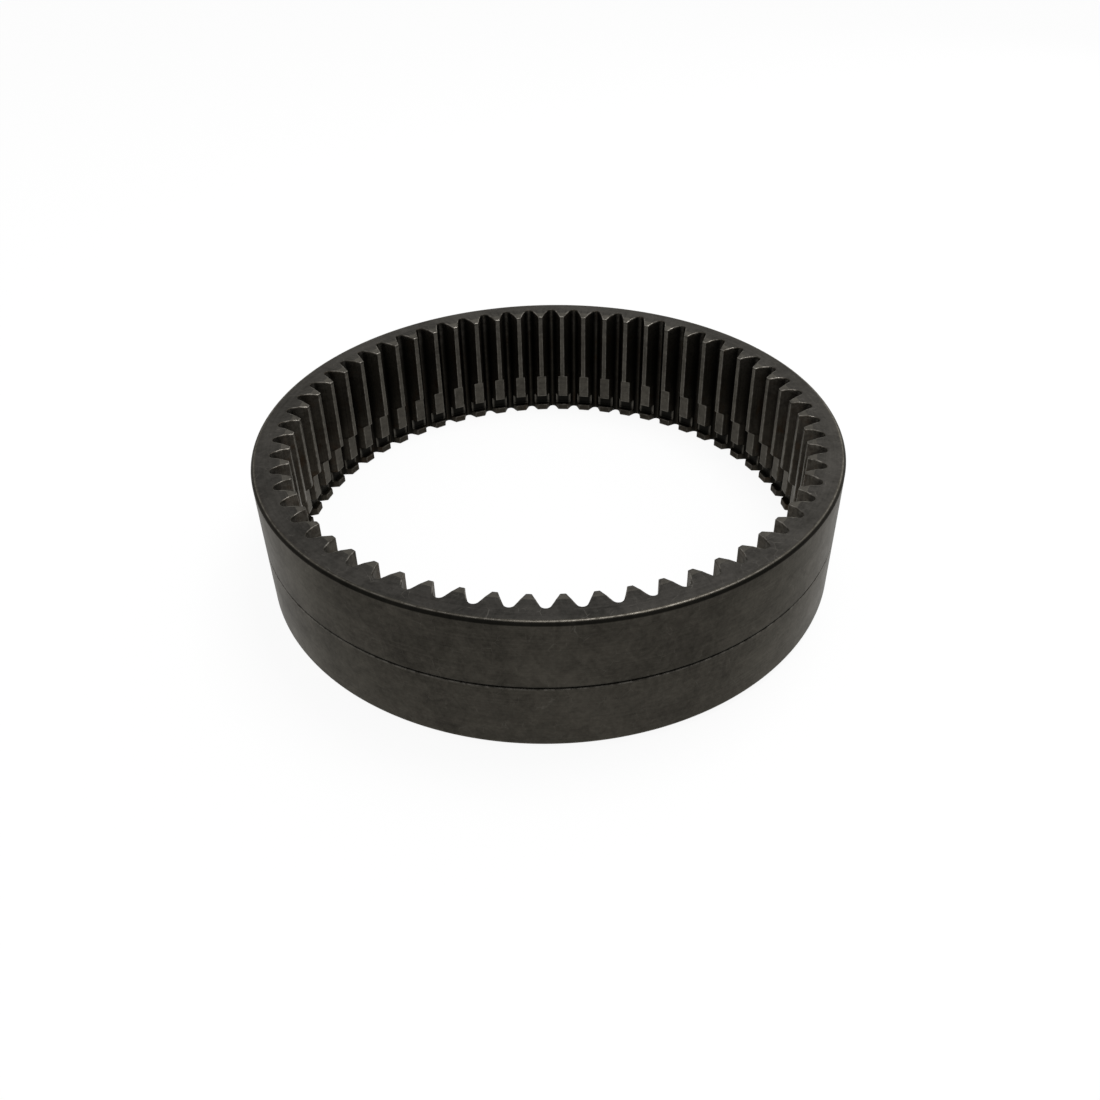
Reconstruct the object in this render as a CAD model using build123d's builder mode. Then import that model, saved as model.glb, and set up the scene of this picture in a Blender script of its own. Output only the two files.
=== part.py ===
from build123d import *

import math
import os

# Internal ring gear: one turned and toothed steel ring.
#
# The upper part carries full-depth involute teeth. Below them the tooth tips
# are bored back so that a splined hub can slide in from the bottom face, and
# an annular groove across the teeth takes the snap ring that holds the hub.
#
# The origin is the centre of the bottom face, and +Z is up, along the ring
# axis. All sizes are in millimetres.

os.makedirs("parts", exist_ok=True)

# Tooth form
tooth_count = 60
module = 3.0
pressure_angle = 25.0
tooth_thickness = 4.36
tip_diameter = 173.8
root_diameter = 186.2
root_round = 1.1
root_flats = 6

# Ring body
outer_diameter = 198.0
height = 47.5
foot_chamfer = 2.0
rim_roll_width = 1.4
rim_roll_depth = 0.8

# Bevel on the top ends of the teeth
tip_bevel_width = 2.9
tip_bevel_drop = 0.65

# Witness groove round the outside wall
witness_height = 24.0
witness_width = 0.8
witness_depth = 0.4

# Hub seat: the lower part, where the tips are bored back
hub_bore_diameter = 178.4
hub_seat_top = 17.2
hub_seat_lead = 1.3

# Snap ring groove and the retaining stubs under it
snap_groove_diameter = 183.6
snap_groove_width = 4.5
stub_height = 2.7
stub_bore_diameter = 179.4

# Sizes worked out from the ones above
pitch_radius = tooth_count * module / 2
base_radius = pitch_radius * math.cos(math.radians(pressure_angle))
outer_radius = outer_diameter / 2
tip_radius = tip_diameter / 2
root_radius = root_diameter / 2
hub_bore_radius = hub_bore_diameter / 2
snap_groove_radius = snap_groove_diameter / 2
stub_bore_radius = stub_bore_diameter / 2
snap_groove_top = stub_height + snap_groove_width
cutter_overrun = 1.5


def involute(angle: float) -> float:
    """Involute function of an angle in radians."""
    return math.tan(angle) - angle


def gap_point(radius: float, side: int) -> tuple[float, float]:
    """Point on one flank of the tooth gap that lies on the +X axis."""
    at_pitch = math.pi / tooth_count - tooth_thickness / (2 * pitch_radius)
    growth = involute(math.radians(pressure_angle)) - involute(math.acos(base_radius / radius))
    angle = side * (at_pitch + growth)
    return (radius * math.cos(angle), radius * math.sin(angle))


def gap_flank(side: int) -> list[tuple[float, float]]:
    """Start, middle and end of one flank, from inside the bore to the root round."""
    inner = tip_radius - cutter_overrun
    outer = root_radius - root_round
    return [gap_point(radius, side) for radius in (inner, (inner + outer) / 2, outer)]


def root_points(corner: tuple[float, float]) -> list[tuple[float, float]]:
    """Corners of the root round, a half-round made of short flats, from corner to its mirror."""
    depth = root_radius - corner[0]
    round_radius = (depth**2 + corner[1] ** 2) / (2 * depth)
    centre = root_radius - round_radius
    reach = math.atan2(corner[1], corner[0] - centre)
    turns = [reach * (1 - 2 * step / root_flats) for step in range(root_flats + 1)]
    return [
        (centre + round_radius * math.cos(turn), round_radius * math.sin(turn))
        for turn in turns
    ]


# Outline of one tooth gap, from inside the bore to its full-round root
with BuildSketch() as tooth_gap:
    with BuildLine():
        left = gap_flank(1)
        right = gap_flank(-1)
        ThreePointArc(*left)
        Polyline(*root_points(left[-1]))
        ThreePointArc(*right)
        Line(right[0], left[0])
    make_face()

with BuildPart() as ring_gear:
    # Turned blank: half section on the +X side, spun about the ring axis
    with BuildSketch(Plane.XZ):
        with BuildLine():
            outline = Polyline(
                (outer_radius, height - rim_roll_depth),
                (outer_radius, witness_height + witness_width / 2),
                (outer_radius - witness_depth, witness_height + witness_width / 4),
                (outer_radius - witness_depth, witness_height - witness_width / 4),
                (outer_radius, witness_height - witness_width / 2),
                (outer_radius, foot_chamfer),
                (outer_radius - foot_chamfer, 0),
                (stub_bore_radius, 0),
                (stub_bore_radius, stub_height),
                (snap_groove_radius, stub_height),
                (snap_groove_radius, snap_groove_top),
                (hub_bore_radius, snap_groove_top),
                (hub_bore_radius, hub_seat_top),
                (tip_radius, hub_seat_top + hub_seat_lead),
                (tip_radius, height - tip_bevel_drop),
                (tip_radius + tip_bevel_width, height),
                (outer_radius - rim_roll_width, height),
            )
            TangentArc(outline @ 1, outline @ 0, tangent=(1, 0))
        make_face()
    revolve(axis=Axis.Z)

    # Tooth gaps cut through the whole height
    with BuildSketch(Plane.XY):
        with PolarLocations(0, tooth_count):
            add(tooth_gap.sketch)
    extrude(amount=height, mode=Mode.SUBTRACT)

ring_gear.part.label = "ring_gear"
export_step(ring_gear.part, "parts/ring_gear.step")
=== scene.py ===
"""Dresses the internal ring gear: one finely meshed steel ring, its oxide finishes, floor and lamps."""

import logging
import math
from dataclasses import dataclass, field, replace
from enum import Enum
from typing import Callable, NamedTuple

import bmesh
import bpy
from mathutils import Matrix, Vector


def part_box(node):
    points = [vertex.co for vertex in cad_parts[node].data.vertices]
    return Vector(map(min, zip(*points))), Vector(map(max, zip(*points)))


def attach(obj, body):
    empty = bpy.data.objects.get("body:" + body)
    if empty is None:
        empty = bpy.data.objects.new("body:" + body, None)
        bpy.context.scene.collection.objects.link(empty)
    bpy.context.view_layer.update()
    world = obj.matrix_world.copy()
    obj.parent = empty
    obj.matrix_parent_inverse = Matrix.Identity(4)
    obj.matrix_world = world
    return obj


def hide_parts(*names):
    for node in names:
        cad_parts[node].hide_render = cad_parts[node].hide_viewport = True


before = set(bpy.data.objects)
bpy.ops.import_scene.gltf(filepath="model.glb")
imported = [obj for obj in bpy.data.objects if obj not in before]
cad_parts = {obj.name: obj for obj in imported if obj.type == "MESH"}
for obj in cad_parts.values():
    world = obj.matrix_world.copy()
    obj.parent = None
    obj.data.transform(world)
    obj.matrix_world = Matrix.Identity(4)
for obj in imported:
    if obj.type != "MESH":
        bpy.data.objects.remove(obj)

logging.basicConfig(level=logging.INFO, format="%(name)s: %(message)s")
log = logging.getLogger("ring_gear")

MM = 0.001
WHITE = "#ffffff"
SAME_POINT = 0.000001
ON_CREASE = 0.00001


def linear(hex_colour: str) -> tuple[float, float, float, float]:
    """Turns an sRGB hex colour into the linear RGBA that the shaders take.

    Args:
        hex_colour: colour such as "#38352f".

    Returns:
        Linear red, green and blue, and an alpha of 1.
    """
    parts = [int(hex_colour[i:i + 2], 16) / 255 for i in (1, 3, 5)]
    parts = [c / 12.92 if c <= 0.04045 else ((c + 0.055) / 1.055) ** 2.4 for c in parts]
    return (parts[0], parts[1], parts[2], 1.0)


def polar(radius: float, angle: float) -> tuple[float, float]:
    """X and Y of the point at a radius and an angle."""
    return (radius * math.cos(angle), radius * math.sin(angle))


def node(tree: bpy.types.NodeTree, kind: str, links: dict, **settings) -> bpy.types.Node:
    """Adds one shader node with its settings and its inputs.

    Args:
        tree: node tree that takes the node.
        kind: Blender's name for the node type, without the ShaderNode in front.
        links: socket name or number to an output socket, or to a plain value.
        settings: the node's own properties.

    Returns:
        The new node.
    """
    made = tree.nodes.new("ShaderNode" + kind)
    for name, value in settings.items():
        setattr(made, name, value)
    for name, value in links.items():
        socket = made.inputs[name]
        if isinstance(value, bpy.types.NodeSocket):
            tree.links.new(value, socket)
        else:
            socket.default_value = value
    return made


class Marks(Enum):
    """The way the tool has run over a surface, as its marks' cycles per mm along X, Y and Z.

    Real turning threads and shaping strokes are about 0.1 mm apart, too fine to show. They are drawn
    four to eight times as coarse. Faced metal has rings instead, drawn from X and Y alone.
    """

    TURNED = (0.02, 0.02, 2.2)
    FACED = (1.0, 1.0, 0.0)
    SHAPED = (2.4, 2.4, 0.035)
    BORED = (0.05, 0.05, 1.6)


@dataclass(frozen=True)
class Pattern:
    """Noise whose patches have one real size, with its finer layers, their strength and its bend."""

    size_mm: float
    layers: float
    rough: float
    bend: float = 0.0

    def inputs(self) -> dict[str, float]:
        """The noise node's inputs that draw this pattern."""
        return {
            "Scale": 1 / self.size_mm,
            "Detail": self.layers,
            "Roughness": self.rough,
            "Distortion": self.bend,
        }


PATCHES = Pattern(24.0, 4.0, 0.62, 0.6)
CLOUDS = Pattern(4.8, 5.0, 0.6, 1.2)
CLOUDS_PER_PATCH = 5


@dataclass(frozen=True)
class OxideFinish:
    """Machined steel with a hot black oxide skin, oiled: dark, warm and half matt, with tool marks."""

    name: str
    dark: str
    light: str
    marks: Marks
    roughness: tuple[float, float]
    mark_depth: float = 0.35
    smudge: float = 0.0
    scratch: float = 0.5
    patch_mm: float = PATCHES.size_mm
    # Light bare steel, for scratches, and for the edges, where it is partly rubbed steel and partly
    # painted highlight
    worn_and_highlight: str = "#85817a"
    smudge_colour: str = "#33261a"
    # Near-black painted shade, laid where the mesh marks the metal as lying in shade
    painted_shade: str = "#090908"
    grazing: str = "#e0deda"
    worn_roughness: float = 0.24
    cloud_share: float = 0.45
    grain_share: float = 0.22
    # The oxide's own grain is a few hundredths of a millimetre, too fine to show, and is drawn at 1.1
    grain: Pattern = Pattern(1.1, 3.0, 0.55)
    oil_stains: Pattern = Pattern(9.0, 5.0, 0.65, 0.8)
    facing_rings: Pattern = Pattern(1 / 1.3, 3.0, 0.7)
    facing_turn: float = 0.02
    strokes: Pattern = Pattern(1.0, 4.0, 0.65, 0.2)
    scratch_bend: Pattern = Pattern(6.0, 2.0, 0.5)
    scratch_places: Pattern = Pattern(4.2, 3.0, 0.6)
    scratch_mm: float = 3.6
    # A share of scratch_mm. A real mark is a few hundredths wide, and is drawn at about 0.15 to show
    scratch_width: float = 0.022
    scratch_strength: float = 0.55
    oxide_hold: Pattern = Pattern(2.2, 5.0, 0.75, 0.5)
    oxide_hold_least: float = 0.15
    relief_strength: float = 0.28
    relief_depth: float = 0.00006
    relief_mark_share: float = 0.6
    # Stretches of a pattern's values over which it turns from one look to the other
    colour_span: tuple[float, float] = (0.38, 0.62)
    gloss_span: tuple[float, float] = (0.3, 0.7)
    stain_span: tuple[float, float] = (0.54, 0.70)
    scratch_span: tuple[float, float] = (0.50, 0.68)
    hold_span: tuple[float, float] = (0.42, 0.60)

    def build(self) -> bpy.types.Material:
        """Makes the material.

        Returns:
            The material, which reads the mesh's "wear" value, light edges that are partly rubbed steel
            and partly painted highlight, and its "burnt" value, a painted shade.
        """
        material = bpy.data.materials.new(self.name)
        material.use_nodes = True
        tree = material.node_tree
        tree.nodes.clear()
        place = node(tree, "TexCoord", {}).outputs["Object"]
        mm = node(tree, "VectorMath", {0: place, "Scale": 1 / MM}, operation="SCALE").outputs[0]
        grain = node(tree, "TexNoise", {"Vector": mm, **self.grain.inputs()}).outputs["Fac"]
        marks = self.tool_marks(tree, mm)
        wear_and_highlight = self.broken_wear_and_highlight(tree, mm)
        tone = self.tone(tree, mm, grain, marks)
        colour = self.colour(tree, mm, tone, wear_and_highlight)

        start, end = self.gloss_span
        low, high = self.roughness
        gloss = node(tree, "MapRange", {0: tone, 1: start, 2: end, 3: high, 4: low}).outputs[0]
        gloss = node(tree, "MapRange", {0: wear_and_highlight, 3: gloss, 4: self.worn_roughness}).outputs[0]
        links = {0: self.relief_mark_share, 2: grain, 3: marks}
        depth = node(tree, "Mix", links, data_type="FLOAT").outputs[0]
        relief = node(
            tree,
            "Bump",
            {"Height": depth, "Strength": self.relief_strength, "Distance": self.relief_depth},
        ).outputs[0]
        shader = node(
            tree,
            "BsdfPrincipled",
            {
                "Base Color": colour,
                "Metallic": 1.0,
                "Roughness": gloss,
                "Normal": relief,
                "Specular Tint": linear(self.grazing),
            },
        )
        node(tree, "OutputMaterial", {"Surface": shader.outputs[0]})
        return material

    def tone(
        self,
        tree: bpy.types.NodeTree,
        mm: bpy.types.NodeSocket,
        grain: bpy.types.NodeSocket,
        marks: bpy.types.NodeSocket,
    ) -> bpy.types.NodeSocket:
        """Mixes patches, clouds, grain and tool marks.

        Args:
            tree: the material's node tree.
            mm: place on the ring in millimetres.
            grain: value of the grain.
            marks: value of the tool marks.

        Returns:
            One value from dark to light.
        """
        patches = replace(PATCHES, size_mm=self.patch_mm)
        clouds = replace(CLOUDS, size_mm=self.patch_mm / CLOUDS_PER_PATCH)
        mixed = node(tree, "TexNoise", {"Vector": mm, **patches.inputs()}).outputs["Fac"]
        finer = node(tree, "TexNoise", {"Vector": mm, **clouds.inputs()}).outputs["Fac"]
        layers = ((finer, self.cloud_share), (grain, self.grain_share), (marks, self.mark_depth))
        for layer, share in layers:
            mixed = node(tree, "Mix", {0: share, 2: mixed, 3: layer}, data_type="FLOAT").outputs[0]
        return mixed

    def colour(
        self,
        tree: bpy.types.NodeTree,
        mm: bpy.types.NodeSocket,
        tone: bpy.types.NodeSocket,
        wear_and_highlight: bpy.types.NodeSocket,
    ) -> bpy.types.NodeSocket:
        """Lays the colours over each other, from the oxide through the painted shade up to the bare
        edges, partly rubbed steel and partly painted highlight.

        Args:
            tree: the material's node tree.
            mm: place on the ring in millimetres.
            tone: value from the dark oxide to the light.
            wear_and_highlight: share of bare steel, partly rubbed and partly painted highlight.

        Returns:
            The surface colour.
        """
        start, end = self.colour_span
        spread = node(tree, "MapRange", {0: tone, 1: start, 2: end}).outputs[0]
        # Painted shade, read from the mesh
        painted_shade = node(tree, "Attribute", {}, attribute_name="painted_shade").outputs["Fac"]
        coats = [(spread, self.light)]
        if self.smudge:
            stains = {"Vector": mm, **self.oil_stains.inputs()}
            spots = node(tree, "TexNoise", stains).outputs["Fac"]
            start, end = self.stain_span
            spots = node(tree, "MapRange", {0: spots, 1: start, 2: end, 4: self.smudge}).outputs[0]
            coats.append((spots, self.smudge_colour))
        coats += [(self.scratches(tree, mm), self.worn_and_highlight), (painted_shade, self.painted_shade), (wear_and_highlight, self.worn_and_highlight)]
        mixed = linear(self.dark)
        for share, over in coats:
            links = {0: share, 6: mixed, 7: linear(over)}
            mixed = node(tree, "Mix", links, data_type="RGBA").outputs[2]
        return mixed

    def tool_marks(self, tree: bpy.types.NodeTree, mm: bpy.types.NodeSocket) -> bpy.types.NodeSocket:
        """Draws what the tool left: rings on faced metal, and strokes or threads elsewhere.

        Args:
            tree: the material's node tree.
            mm: place on the ring in millimetres.

        Returns:
            Height of the marks.
        """
        links = {0: mm, 1: self.marks.value}
        laid = node(tree, "VectorMath", links, operation="MULTIPLY").outputs[0]
        if self.marks is not Marks.FACED:
            return node(tree, "TexNoise", {"Vector": laid, **self.strokes.inputs()}).outputs["Fac"]
        radius = node(tree, "VectorMath", {0: laid}, operation="LENGTH").outputs["Value"]
        links = {0: laid, "Scale": self.facing_turn}
        turn = node(tree, "VectorMath", links, operation="SCALE").outputs[0]
        rings = node(tree, "CombineXYZ", {2: radius}).outputs[0]
        both = node(tree, "VectorMath", {0: rings, 1: turn}, operation="ADD").outputs[0]
        return node(tree, "TexNoise", {"Vector": both, **self.facing_rings.inputs()}).outputs["Fac"]

    def scratches(self, tree: bpy.types.NodeTree, mm: bpy.types.NodeSocket) -> bpy.types.NodeSocket:
        """Draws fine curved handling marks, a few millimetres long, in some places only.

        Args:
            tree: the material's node tree.
            mm: place on the ring in millimetres.

        Returns:
            Share of bare steel in the marks.
        """
        bent = node(tree, "TexNoise", {"Vector": mm, **self.scratch_bend.inputs()}).outputs["Fac"]
        push = node(tree, "VectorMath", {0: mm, 1: bent}, operation="ADD").outputs[0]
        links = {"Vector": push, "Scale": 1 / self.scratch_mm}
        cells = node(tree, "TexVoronoi", links, feature="DISTANCE_TO_EDGE").outputs["Distance"]
        links = {0: cells, 1: 0.0, 2: self.scratch_width, 3: 1.0, 4: 0.0}
        lines = node(tree, "MapRange", links).outputs[0]
        where = node(tree, "TexNoise", {"Vector": mm, **self.scratch_places.inputs()}).outputs["Fac"]
        start, end = self.scratch_span
        links = {0: where, 1: start, 2: end, 4: self.scratch_strength * self.scratch}
        where = node(tree, "MapRange", links).outputs[0]
        return node(tree, "Math", {0: lines, 1: where}, operation="MULTIPLY").outputs[0]

    def broken_wear_and_highlight(self, tree: bpy.types.NodeTree, mm: bpy.types.NodeSocket) -> bpy.types.NodeSocket:
        """Takes the bare edges from the mesh, partly rubbed steel and partly painted highlight, and
        breaks them up where the oxide has held.

        Args:
            tree: the material's node tree.
            mm: place on the ring in millimetres.

        Returns:
            Share of bare steel on the edges, partly rubbed and partly painted highlight.
        """
        worn_and_highlight = node(tree, "Attribute", {}, attribute_name="wear_and_highlight").outputs["Fac"]
        hold = node(tree, "TexNoise", {"Vector": mm, **self.oxide_hold.inputs()}).outputs["Fac"]
        start, end = self.hold_span
        links = {0: hold, 1: start, 2: end, 3: self.oxide_hold_least}
        hold = node(tree, "MapRange", links).outputs[0]
        return node(tree, "Math", {0: worn_and_highlight, 1: hold}, operation="MULTIPLY").outputs[0]


# Black oxide over a turned wall: even warm grey with soft clouds and faint threads
TURNED_WALL = OxideFinish(
    "black_oxide_steel_turned",
    dark="#25231f",
    light="#403d37",
    marks=Marks.TURNED,
    roughness=(0.34, 0.48),
    mark_depth=0.16,
    scratch=0.25,
    patch_mm=30.0,
)
# Black oxide over a faced end: a little cooler, with rings from the facing tool
FACED_END = OxideFinish(
    "black_oxide_steel_faced",
    dark="#22211f",
    light="#3e3c39",
    marks=Marks.FACED,
    roughness=(0.32, 0.46),
    mark_depth=0.2,
)
# Black oxide over shaped tooth flanks: darkest, with strokes along the teeth and brown oil stains
SHAPED_FLANK = OxideFinish(
    "black_oxide_steel_shaped",
    dark="#25221e",
    light="#3f3b34",
    marks=Marks.SHAPED,
    roughness=(0.42, 0.60),
    smudge=0.8,
    scratch=0.1,
    patch_mm=14.0,
)
# Black oxide over the bevelled tooth ends, drawn the lightest of the finishes
BEVELLED_TIP = OxideFinish(
    "black_oxide_steel_bevelled",
    dark="#393733",
    light="#55524c",
    marks=Marks.FACED,
    roughness=(0.30, 0.42),
    mark_depth=0.1,
    scratch=0.3,
)
# Black oxide over bored tooth lands: lighter, where the boring bar left a smoother skin
BORED_LAND = OxideFinish(
    "black_oxide_steel_bored",
    dark="#302e2a",
    light="#48453f",
    marks=Marks.BORED,
    roughness=(0.30, 0.42),
    mark_depth=0.2,
    scratch=0.2,
    patch_mm=16.0,
)


class Zone(Enum):
    """Surfaces of the ring, each with its own finish; the value is the material slot."""

    WALL = 0
    FACE = 1
    FLANK = 2
    LAND = 3
    BEVEL = 4


FINISHES = {
    Zone.WALL: TURNED_WALL,
    Zone.FACE: FACED_END,
    Zone.FLANK: SHAPED_FLANK,
    Zone.LAND: BORED_LAND,
    Zone.BEVEL: BEVELLED_TIP,
}


class BorePoint(NamedTuple):
    """A point of the bore's outline in mm, with the finish of the stretch that starts at it."""

    x: float
    y: float
    zone: Zone
    wear_and_highlight: float
    painted_shade: float


@dataclass
class ToothForm:
    """Outline of the toothed bore, in millimetres, in the frame of one tooth gap on +X."""

    tooth_count: int = 60
    module: float = 3.0
    pressure_angle: float = 25.0
    tooth_thickness: float = 4.36
    tip_radius: float = 86.9
    root_radius: float = 93.1
    root_start: float = 92.0
    flank_stock: float = 0.11
    root_steps: int = 4
    flank_steps: int = 4
    corner_radius: float = 0.16
    corner_share: float = 0.3
    corner_clear: float = 0.42
    clear_share: float = 0.6
    ear_width: float = 1.1
    # Bare steel on the land corners, partly rubbed steel and partly painted highlight along the corners
    corner_wear_and_highlight: float = 0.45
    corner_peak_wear_and_highlight: float = 0.7
    # Painted shade deep in the gaps: most at the root's sides, less in its middle, which leaves a
    # lighter line, and fading up the flanks
    root_middle_painted_shade: float = 0.45
    root_side_painted_shade: float = 0.85
    flank_painted_shade: float = 0.75
    flank_painted_shade_fade: float = 0.35

    def gap_angle(self, radius: float, stock: float) -> float:
        """Works out the width of the gap, whose flanks are involutes.

        Args:
            radius: distance from the ring's axis.
            stock: metal left on each flank.

        Returns:
            Half the angle of the gap at the radius.
        """
        pitch_radius = self.tooth_count * self.module / 2
        alpha = math.radians(self.pressure_angle)
        base = pitch_radius * math.cos(alpha)
        beta = math.acos(base / radius)
        thickness = self.tooth_thickness + 2 * stock
        growth = (math.tan(alpha) - alpha) - (math.tan(beta) - beta)
        return math.pi / self.tooth_count - thickness / (2 * pitch_radius) + growth

    def root_points(self, stock: float) -> list[BorePoint]:
        """Lays points along half of the rounded root, from its middle.

        Args:
            stock: metal left on the flank.

        Returns:
            The points, up to just before the flank.
        """
        corner_x, corner_y = polar(self.root_start, self.gap_angle(self.root_start, stock))
        depth = self.root_radius - corner_x
        round_radius = (depth**2 + corner_y**2) / (2 * depth)
        centre = self.root_radius - round_radius
        reach = math.atan2(corner_y, corner_x - centre)
        points = []
        for step in range(self.root_steps):
            x, y = polar(round_radius, reach * step / self.root_steps)
            painted_shade = self.root_side_painted_shade if step else self.root_middle_painted_shade
            points.append(BorePoint(centre + x, y, Zone.FLANK, 0.0, painted_shade))
        return points

    def half_gap(self, tip: float, stock: float) -> list[BorePoint]:
        """Lays points from the middle of the root to the middle of the land.

        Args:
            tip: radius of the land at this height.
            stock: metal left on the flank.

        Returns:
            The points, with the corner of the land broken.
        """
        points = self.root_points(stock)
        length = self.root_start - tip
        clear = min(self.corner_clear, self.clear_share * length)
        bend = min(self.corner_radius, self.corner_share * length)
        for index in range(self.flank_steps + 1):
            radius = self.root_start - (length - clear) * index / self.flank_steps
            painted_shade = max(0.0, self.flank_painted_shade - self.flank_painted_shade_fade * index)
            x, y = polar(radius, self.gap_angle(radius, stock))
            points.append(BorePoint(x, y, Zone.FLANK, 0.0, painted_shade))
        angle = self.gap_angle(tip, stock)
        before = Vector(polar(tip + bend, self.gap_angle(tip + bend, stock)))
        after = Vector(polar(tip, angle + bend / tip))
        middle = 0.25 * before + 0.5 * Vector(polar(tip, angle)) + 0.25 * after
        points.append(BorePoint(*before, Zone.LAND, self.corner_wear_and_highlight, 0.0))
        points.append(BorePoint(*middle, Zone.LAND, self.corner_peak_wear_and_highlight, 0.0))
        points.append(BorePoint(*after, Zone.LAND, self.corner_wear_and_highlight, 0.0))
        angle += (self.ear_width if length < self.corner_clear else clear) / tip
        points.append(BorePoint(*polar(tip, angle), Zone.LAND, 0.0, 0.0))
        points.append(BorePoint(*polar(tip, math.pi / self.tooth_count), Zone.LAND, 0.0, 0.0))
        return points

    def outline(self, tip: float, stock: float) -> list[BorePoint]:
        """Lays the whole closed outline, anticlockwise, from the middle of one root.

        Args:
            tip: radius of the lands at this height.
            stock: metal left on each flank.

        Returns:
            The points, as many for every tip and stock.
        """
        half = self.half_gap(tip, stock)
        pitch = 2 * math.pi / self.tooth_count
        mirrored = []
        for index in range(len(half) - 2, 0, -1):
            point = half[index]
            x, y = polar(math.hypot(point.x, point.y), pitch - math.atan2(point.y, point.x))
            mirrored.append(BorePoint(x, y, half[index - 1].zone, point.wear_and_highlight, point.painted_shade))
        ring = []
        for tooth in range(self.tooth_count):
            c, s = polar(1.0, tooth * pitch)
            for x, y, zone, wear_and_highlight, painted_shade in half + mirrored:
                ring.append(BorePoint(x * c - y * s, x * s + y * c, zone, wear_and_highlight, painted_shade))
        return ring

    def widened(self, tip: float, stock: float, distance: float) -> list[BorePoint]:
        """Lays the outline of the bore moved into the metal by a distance.

        Args:
            tip: radius of the lands before the move.
            stock: metal left on the flanks before the move.
            distance: how far into the metal.

        Returns:
            The moved outline, point for point.
        """
        moved = replace(
            self,
            root_radius=self.root_radius + distance,
            root_start=self.root_start + distance,
        )
        return moved.outline(tip + distance, stock - distance)


@dataclass
class Row:
    """One closed row of points round the ring, with the finish of the band above it."""

    points: list[tuple[float, float, float]]
    zones: list[Zone]
    wear_and_highlight: list[float]
    painted_shade: list[float]


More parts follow.
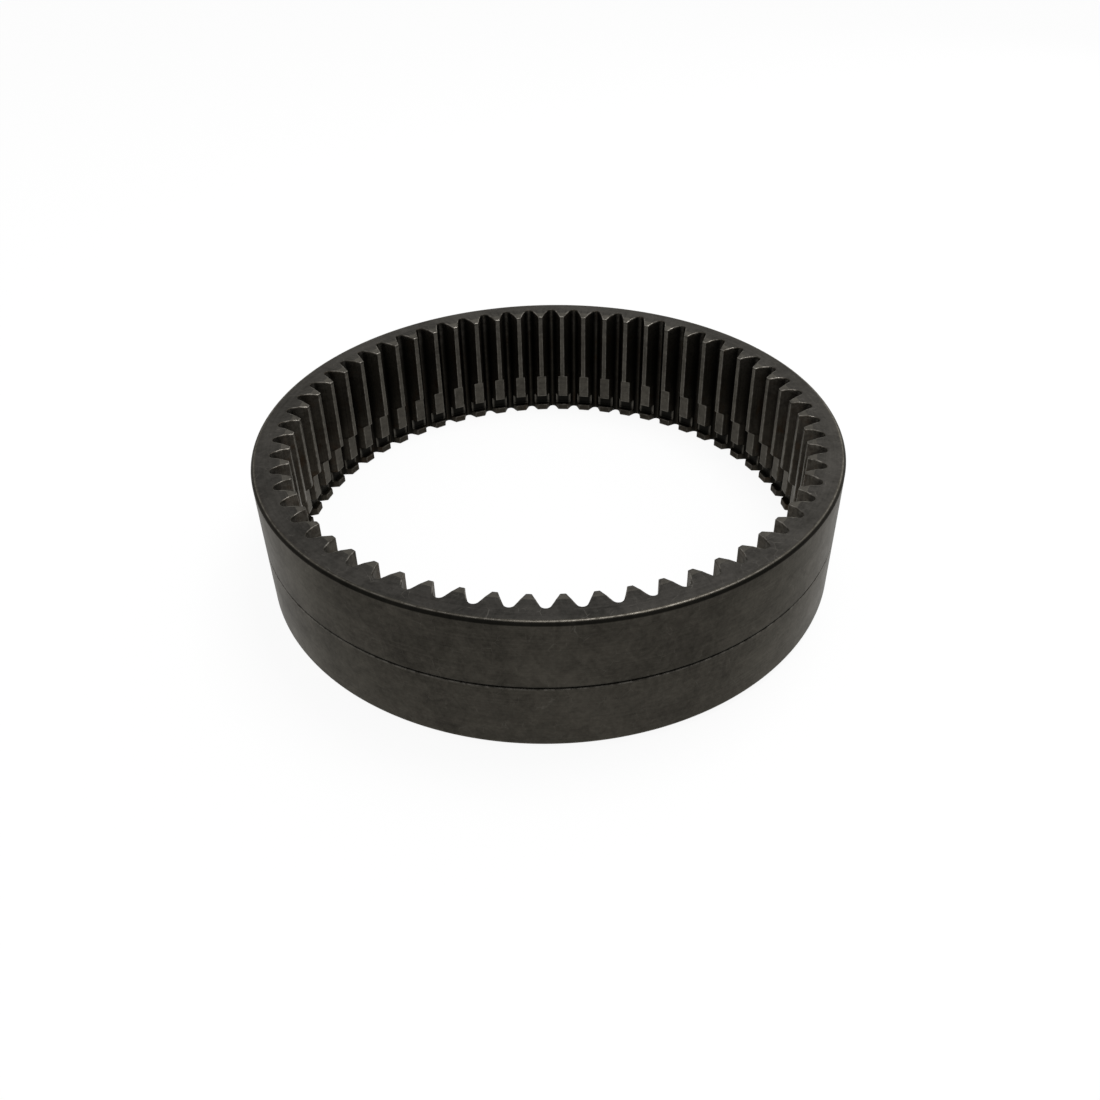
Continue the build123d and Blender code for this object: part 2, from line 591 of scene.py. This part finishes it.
@dataclass
class RingGear:
    """The steel ring, in millimetres: toothed bore, end faces, rolled rim, grooved wall and foot."""

    height: float
    outer_radius: float
    form: ToothForm = field(default_factory=ToothForm)
    edge_break: float = 0.17
    land_clear: float = 0.5
    face_ring_radius: float = 95.0
    bevel_width: float = 2.9
    bevel_drop: float = 0.65
    roll_width: float = 1.4
    roll_depth: float = 0.8
    roll_steps: int = 8
    roll_hold: float = 0.35
    foot_chamfer: float = 2.0
    foot_break: float = 0.12
    witness_height: float = 24.0
    witness_width: float = 0.8
    witness_depth: float = 0.4
    wall_hold: float = 0.5
    hub_radius: float = 89.2
    hub_top: float = 17.2
    hub_lead: float = 1.3
    groove_radius: float = 91.8
    groove_bottom: float = 2.7
    groove_top: float = 7.2
    groove_round: float = 0.2
    stub_radius: float = 89.7
    ledge_break: float = 0.15
    ledge_hold: float = 0.3
    seat_break: float = 0.12
    lead_step: float = 0.27
    lead_blend: float = 0.05
    recess_step: float = 1.5
    tooth_middle_share: float = 0.7
    end_hold: float = 0.7
    sharp_angle: float = 50.0
    # Shares of bare steel where the edges have been handled, which on the top edges, the land corners
    # and the rim also stands in as a painted highlight
    stub_wear: float = 0.4
    groove_lip_wear: float = 0.5
    seat_wear: float = 0.3
    lead_wear: float = 0.5
    low_corner_share: float = 0.3
    corner_share: float = 0.5
    top_edge_wear_and_highlight: float = 0.8
    top_land_wear_and_highlight: float = 0.35
    top_flank_wear_and_highlight: float = 0.14
    top_root_wear_and_highlight: float = 0.1
    rim_wear_and_highlight: tuple[float, ...] = (0.0, 0.05, 0.4)
    witness_top_wear: float = 0.1
    witness_foot_wear: float = 0.3
    foot_wear: float = 0.4
    foot_face_wear: float = 0.3
    bottom_rim_wear: float = 0.2
    bottom_bore_wear: float = 0.6
    # Shares of a near-black painted shade, laid where the metal lies in shade
    groove_painted_shade: float = 0.93
    foot_painted_shade: float = 0.25
    # Least painted shade at which a point of the bore's outline counts as lying in a root
    root_painted_shade: float = 0.4
    rim_painted_shade: float = 0.85
    rim_painted_shade_from: float = 0.45
    witness_top_painted_shade: float = 0.7
    witness_foot_painted_shade: float = 0.5

    def top_height(self, radius: float) -> float:
        """Finds the top surface, which is flat, and falls over the tooth tips.

        Args:
            radius: distance from the ring's axis.

        Returns:
            Height of the surface there.
        """
        crease = self.form.tip_radius + self.bevel_width
        fall = max(0.0, crease - radius) / self.bevel_width * self.bevel_drop
        return self.height - fall

    def bore_row(
        self, z: float, tip: float, stock: float = 0.0, wear_and_highlight: float = 0.0, ledge: bool = False
    ) -> Row:
        """Makes a row of the toothed bore at one height.

        Args:
            z: height of the row.
            tip: radius of the tooth lands.
            stock: metal left on the flanks.
            wear_and_highlight: least share of bare steel on the lands.
            ledge: True on the flat of a ledge, which gets no bare steel on its edges.

        Returns:
            The row.
        """
        outline = self.form.outline(tip, stock)
        below = z <= self.groove_top
        recess = tip > self.hub_radius + self.recess_step
        # Below the groove's top the lands take the darker flank finish and a little painted shade, and
        # the groove floor takes deep painted shade, where the metal lies in shade
        shade = self.foot_painted_shade if below and not recess else 0.0
        edge_share = self.low_corner_share if below else self.corner_share
        row = Row([(point.x, point.y, z) for point in outline], [], [], [])
        for point in outline:
            land = point.zone is Zone.LAND
            deep = recess and land and not point.wear_and_highlight
            worn_and_highlight = max(point.wear_and_highlight * edge_share, wear_and_highlight if land else 0.0)
            row.zones.append(Zone.FLANK if below and not recess else point.zone)
            row.wear_and_highlight.append(0.0 if ledge else worn_and_highlight)
            row.painted_shade.append(max(point.painted_shade, self.groove_painted_shade if deep else shade))
        return row

    def face_row(
        self,
        ring: list[tuple],
        height_at: Callable[[float], float],
        wear_and_highlight: float,
        zone: Zone = Zone.FACE,
    ) -> Row:
        """Makes a row on an end face.

        Args:
            ring: points whose first two values are X and Y.
            height_at: height for each distance from the ring's axis.
            wear_and_highlight: share of bare steel, partly rubbed and partly painted highlight.
            zone: finish of the band that the row starts.

        Returns:
            The row.
        """
        points = [(x, y, height_at(math.hypot(x, y))) for x, y, *_ in ring]
        return Row(points, [zone] * len(points), [wear_and_highlight] * len(points), [0.0] * len(points))

    def turned_row(
        self, radius: float, z: float, wear_and_highlight: float = 0.0, painted_shade: float = 0.0, zone: Zone = Zone.WALL
    ) -> Row:
        """Makes a round row, with its points in line with those of the bore.

        Args:
            radius: radius of the row.
            z: height of the row.
            wear_and_highlight: share of bare steel, partly rubbed and partly painted highlight.
            painted_shade: share of painted shade.
            zone: finish of the band that the row starts.

        Returns:
            The row.
        """
        outline = self.form.outline(self.form.tip_radius, 0.0)
        points = []
        for point in outline:
            scale = radius / math.hypot(point.x, point.y)
            points.append((point.x * scale, point.y * scale, z))
        return Row(points, [zone] * len(points), [wear_and_highlight] * len(points), [painted_shade] * len(points))

    def bore_rows(self) -> list[Row]:
        """Makes the rows of the bore. Pairs close together keep a flat flat and its edge crisp.

        Returns:
            The rows, from the foot up.
        """
        tip, hub, stub = self.form.tip_radius, self.hub_radius, self.stub_radius
        low, high, seat = self.groove_bottom, self.groove_top, self.hub_top
        recess = self.groove_radius - self.groove_round
        stock, ease, hold = self.form.flank_stock, self.ledge_break, self.ledge_hold
        lead_top = seat + self.hub_lead
        stubs = [
            self.bore_row(self.edge_break, stub, stock, self.stub_wear),
            self.bore_row(self.end_hold, stub, stock),
            self.bore_row(low - ease - hold, stub, stock),
            self.bore_row(low - ease, stub, stock, self.stub_wear),
            self.bore_row(low, stub + ease, stock, self.groove_lip_wear, ledge=True),
            self.bore_row(low, stub + self.land_clear, stock, ledge=True),
        ]
        groove = [
            self.bore_row(low, recess, stock, ledge=True),
            self.bore_row(low + self.groove_round, self.groove_radius, stock),
            self.bore_row(high - self.groove_round, self.groove_radius, stock),
            self.bore_row(high, recess, stock, ledge=True),
        ]
        hub_seat = [
            self.bore_row(high, hub + ease, stock, self.seat_wear, ledge=True),
            self.bore_row(high + ease, hub, stock, self.seat_wear),
            self.bore_row(high + 2 * hold, hub, stock),
            self.bore_row(seat - hold, hub, stock),
            self.bore_row(seat - self.seat_break, hub, stock, self.seat_wear),
            self.bore_row(seat, hub),
        ]
        gear_teeth = [
            self.bore_row(lead_top - ease, tip + self.lead_step),
            self.bore_row(lead_top, tip + self.lead_blend, wear_and_highlight=self.lead_wear),
            self.bore_row(lead_top + hold, tip),
            self.bore_row(self.height * self.tooth_middle_share, tip),
        ]
        return stubs + groove + hub_seat + gear_teeth

    def top_rows(self) -> list[Row]:
        """Makes the rows from the top of the bore across the top face to the rolled rim.

        Returns:
            The rows, from the bore out.
        """
        tip = self.form.tip_radius
        outline = self.form.outline(tip, 0.0)
        # Roots are found by their painted shade, and get little light colour on their top edge
        in_root = [point.painted_shade > self.root_painted_shade for point in outline]
        rows = []
        # The top rows carry the bore's painted shade, and a light colour on the tooth edges that is
        # partly rubbed steel and partly painted highlight
        for below, least in ((self.end_hold, 0.0), (self.edge_break, self.top_land_wear_and_highlight)):
            row = self.face_row(outline, lambda radius: self.top_height(radius) - below, 0.0)
            row.zones = [point.zone for point in outline]
            row.painted_shade = [point.painted_shade for point in outline]
            row.wear_and_highlight = [
                self.top_root_wear_and_highlight
                if root
                else max(self.top_flank_wear_and_highlight, least, self.corner_share * point.wear_and_highlight)
                for point, root in zip(outline, in_root)
            ]
            rows.append(row)
        # A light line along the broken top edge, partly rubbed steel and partly painted highlight, left
        # out in the roots
        edge = self.form.widened(tip, 0.0, self.edge_break)
        edge_row = self.face_row(edge, self.top_height, self.top_edge_wear_and_highlight)
        edge_row.wear_and_highlight = [0.0 if root else worn_and_highlight for root, worn_and_highlight in zip(in_root, edge_row.wear_and_highlight)]
        inner = self.form.widened(tip, 0.0, self.land_clear)
        crease = tip + self.bevel_width
        outward = []
        for point in inner:
            scale = max(1.0, crease / math.hypot(point.x, point.y))
            outward.append((point.x * scale, point.y * scale))
        roll_start = self.outer_radius - self.roll_width
        rows += [
            edge_row,
            self.face_row(inner, self.top_height, 0.0, Zone.BEVEL),
            self.face_row(outward, self.top_height, 0.0),
            self.turned_row(self.face_ring_radius, self.height, zone=Zone.FACE),
            self.turned_row(roll_start - self.roll_hold, self.height, zone=Zone.FACE),
        ]
        return rows

    def rim_rows(self) -> list[Row]:
        """Makes the rows of the rolled rim: a light line at its top, partly rubbed steel and partly
        painted highlight, and painted shade at its foot.

        Returns:
            The rows, from the top face down.
        """
        width, depth = self.roll_width, self.roll_depth
        roll_radius = (width**2 + depth**2) / (2 * depth)
        sweep = 2 * math.atan2(depth, width)
        rows = []
        for step in range(self.roll_steps + 1):
            share = step / self.roll_steps
            across, down = roll_radius * math.sin(sweep * share), roll_radius * math.cos(sweep * share)
            # The top of the roll takes a light line, partly rubbed steel and partly painted highlight;
            # its lower half takes painted shade, standing for a dark reflection
            rows.append(
                self.turned_row(
                    self.outer_radius - width + across,
                    self.height - roll_radius + down,
                    wear_and_highlight=self.rim_wear_and_highlight[step] if step < len(self.rim_wear_and_highlight) else 0.0,
                    painted_shade=self.rim_painted_shade if share > self.rim_painted_shade_from else 0.0,
                )
            )
        return rows

    def outside_rows(self) -> list[Row]:
        """Makes the rows of the rolled rim, the wall, its witness groove and the foot.

        Returns:
            The rows, from the top down.
        """
        outer, top = self.outer_radius, self.height
        middle, half = self.witness_height, self.witness_width / 2
        floor, hold = outer - self.witness_depth, self.wall_hold
        foot, ease = self.foot_chamfer, self.foot_break
        return self.rim_rows() + [
            self.turned_row(outer, top - self.roll_depth - self.roll_hold),
            self.turned_row(outer, middle + half + hold),
            # Painted shade fills the witness groove and darkens its lips
            self.turned_row(outer, middle + half, self.witness_top_wear, self.witness_top_painted_shade),
            self.turned_row(floor, middle + 0.75 * half, painted_shade=1.0),
            self.turned_row(floor, middle - 0.5 * half, painted_shade=1.0),
            self.turned_row(outer, middle - half, self.witness_foot_wear, self.witness_foot_painted_shade),
            self.turned_row(outer, middle - half - hold),
            self.turned_row(outer, foot + hold),
            self.turned_row(outer, foot + ease, self.foot_wear),
            self.turned_row(outer - ease, foot - ease, self.foot_wear),
            self.turned_row(outer - foot + ease, ease, self.foot_face_wear),
        ]

    def bottom_rows(self) -> list[Row]:
        """Makes the rows across the bottom face, from the foot chamfer in to the bore.

        Returns:
            The rows, from the wall in.
        """
        stub, stock = self.stub_radius, self.form.flank_stock
        inner = self.form.widened(stub, stock, self.land_clear)
        edge = self.form.widened(stub, stock, self.edge_break)
        chamfer_end = self.outer_radius - self.foot_chamfer - self.ledge_break
        return [
            self.turned_row(chamfer_end, 0.0, self.bottom_rim_wear, zone=Zone.FACE),
            self.turned_row(self.face_ring_radius, 0.0, zone=Zone.FACE),
            self.face_row(inner, lambda radius: 0.0, 0.0),
            self.face_row(edge, lambda radius: 0.0, self.bottom_bore_wear),
        ]

    def build(self) -> bpy.types.Object:
        """Makes the ring as one closed mesh, with its finishes.

        Returns:
            The ring, in metres.
        """
        rows = self.bore_rows() + self.top_rows() + self.outside_rows() + self.bottom_rows()
        count = len(rows[0].points)
        vertices = [(x * MM, y * MM, z * MM) for row in rows for x, y, z in row.points]
        faces, slots = [], []
        for r, row in enumerate(rows):
            here, above = r * count, (r + 1) % len(rows) * count
            for c, zone in enumerate(row.zones):
                after = (c + 1) % count
                faces.append((here + c, here + after, above + after, above + c))
                slots.append(zone.value)
        mesh = bpy.data.meshes.new("ring_gear_steel")
        mesh.from_pydata(vertices, [], faces)
        mesh.polygons.foreach_set("material_index", slots)
        for zone in Zone:
            mesh.materials.append(FINISHES[zone].build())
        for name in ("wear_and_highlight", "painted_shade"):
            values = [value for row in rows for value in getattr(row, name)]
            mesh.attributes.new(name, "FLOAT", "POINT").data.foreach_set("value", values)
        self.clean(mesh)
        ring = bpy.data.objects.new("ring_gear_steel", mesh)
        bpy.context.scene.collection.objects.link(ring)
        return ring

    def clean(self, mesh: bpy.types.Mesh) -> None:
        """Joins doubled points, turns every face outward and marks the sharp edges.

        Args:
            mesh: the ring's mesh, in metres.
        """
        work = bmesh.new()
        work.from_mesh(mesh)
        bmesh.ops.remove_doubles(work, verts=work.verts, dist=SAME_POINT)
        bmesh.ops.recalc_face_normals(work, faces=work.faces)
        work.to_mesh(mesh)
        work.free()
        mesh.polygons.foreach_set("use_smooth", [True] * len(mesh.polygons))
        mesh.set_sharp_from_angle(angle=math.radians(self.sharp_angle))
        crease, top = (self.form.tip_radius + self.bevel_width) * MM, self.height * MM
        on_crease = [
            abs(math.hypot(v.co.x, v.co.y) - crease) < ON_CREASE and abs(v.co.z - top) < ON_CREASE
            for v in mesh.vertices
        ]
        for edge in mesh.edges:
            if all(on_crease[v] for v in edge.vertices):
                edge.use_edge_sharp = True


@dataclass
class SoftLamp:
    """One soft square lamp that faces the ring, in metres and watts."""

    name: str
    place: tuple[float, float, float]
    size: float
    power: float
    aim: tuple[float, float, float] = (0.0, 0.0, 0.02)

    def build(self) -> bpy.types.Object:
        """Makes the lamp.

        Returns:
            The lamp, turned to the ring.
        """
        data = bpy.data.lights.new(self.name, "AREA")
        data.shape, data.size, data.energy = "SQUARE", self.size, self.power
        lamp = bpy.data.objects.new(self.name, data)
        lamp.location = self.place
        towards = Vector(self.aim) - Vector(self.place)
        lamp.rotation_euler = towards.to_track_quat("-Z", "Y").to_euler()
        bpy.context.scene.collection.objects.link(lamp)
        return lamp


OVERHEAD_LAMP = SoftLamp("overhead_soft_lamp", (0.20, 0.12, 0.9), 0.40, 5.0)
SIDE_LAMP = SoftLamp("side_soft_lamp", (0.70, 0.75, 0.48), 0.6, 1.3)


@dataclass
class Studio:
    """Plain pale floor, white surround and the camera."""

    floor_half: float = 4.0
    floor_gap: float = 0.0003
    # Share of the floor that is seen as plain white, so that the rest can keep the ring's shadow
    floor_white: float = 0.92
    floor_colour: str = "#f4f4f4"
    diffuse_strength: float = 0.75
    camera_place: tuple[float, float, float] = (0.005506, -0.274293, 0.213469)
    camera_turn: tuple[float, float, float] = (57.7125, 0.4750, -0.2698)
    camera_shift: tuple[float, float] = (-0.01347, -0.1)
    camera_lens: float = 30.499
    camera_sensor: float = 36.0

    def seen(self, tree: bpy.types.NodeTree) -> bpy.types.NodeSocket:
        """Tells what is looked at, mirrored or seen through from what only lights.

        Args:
            tree: node tree of the floor or the surround.

        Returns:
            1 for camera, glossy and transmission rays, and 0 for the rest.
        """
        path = node(tree, "LightPath", {}).outputs
        share = path["Is Camera Ray"]
        for ray in ("Is Glossy Ray", "Is Transmission Ray"):
            share = node(tree, "Math", {0: share, 1: path[ray]}, operation="MAXIMUM").outputs[0]
        return share

    def floor(self) -> bpy.types.Object:
        """Makes the floor, which shows white and keeps a soft shadow.

        Returns:
            The floor.
        """
        h, z = self.floor_half, -self.floor_gap
        mesh = bpy.data.meshes.new("studio_floor")
        mesh.from_pydata([(-h, -h, z), (h, -h, z), (h, h, z), (-h, h, z)], [], [(0, 1, 2, 3)])
        material = bpy.data.materials.new("matt_white_paper")
        material.use_nodes = True
        tree = material.node_tree
        tree.nodes.clear()
        links = {0: self.seen(tree), 1: self.floor_white}
        share = node(tree, "Math", links, operation="MULTIPLY").outputs[0]
        paper = node(tree, "BsdfDiffuse", {"Color": linear(self.floor_colour)}).outputs[0]
        white = node(tree, "Emission", {"Color": linear(WHITE), "Strength": 1.0}).outputs[0]
        mixed = node(tree, "MixShader", {0: share, 1: paper, 2: white})
        node(tree, "OutputMaterial", {"Surface": mixed.outputs[0]})
        mesh.materials.append(material)
        plane = bpy.data.objects.new("studio_floor", mesh)
        bpy.context.scene.collection.objects.link(plane)
        return plane

    def surround(self) -> bpy.types.World:
        """Makes the white surround, dimmer for diffuse light than for what is seen or mirrored.

        Returns:
            The world.
        """
        world = bpy.data.worlds.new("white_surround")
        bpy.context.scene.world = world
        world.use_nodes = True
        tree = world.node_tree
        tree.nodes.clear()
        links = {0: self.seen(tree), 3: self.diffuse_strength, 4: 1.0}
        strength = node(tree, "MapRange", links).outputs[0]
        light = node(tree, "Background", {"Color": linear(WHITE), "Strength": strength})
        node(tree, "OutputWorld", {"Surface": light.outputs[0]})
        return world

    def camera(self) -> bpy.types.Object:
        """Makes the camera, a little above and in front of the ring.

        Returns:
            The camera, which the scene renders from.
        """
        data = bpy.data.cameras.new("camera")
        data.sensor_width, data.lens = self.camera_sensor, self.camera_lens
        data.shift_x, data.shift_y = self.camera_shift
        camera = bpy.data.objects.new("camera", data)
        camera.location = self.camera_place
        camera.rotation_euler = [math.radians(angle) for angle in self.camera_turn]
        bpy.context.scene.collection.objects.link(camera)
        bpy.context.scene.camera = camera
        return camera


def main() -> None:
    """Builds the ring and the studio."""
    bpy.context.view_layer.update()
    low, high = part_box("ring_gear")
    gear = RingGear(
        height=round((high.z - low.z) / MM, 3),
        outer_radius=round((high.x - low.x) / MM / 2, 3),
    )
    ring = gear.build()
    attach(ring, "root")
    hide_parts("ring_gear")
    log.info("%s: %d faces", ring.name, len(ring.data.polygons))
    studio = Studio()
    floor = studio.floor()
    log.info("%s: made", floor.name)
    log.info("%s: made", studio.surround().name)
    for lamp in (OVERHEAD_LAMP, SIDE_LAMP):
        log.info("%s: made", lamp.build().name)
    log.info("%s: made", studio.camera().name)
    bpy.context.scene.view_settings.view_transform = "Standard"


if __name__ == "__main__":
    main()
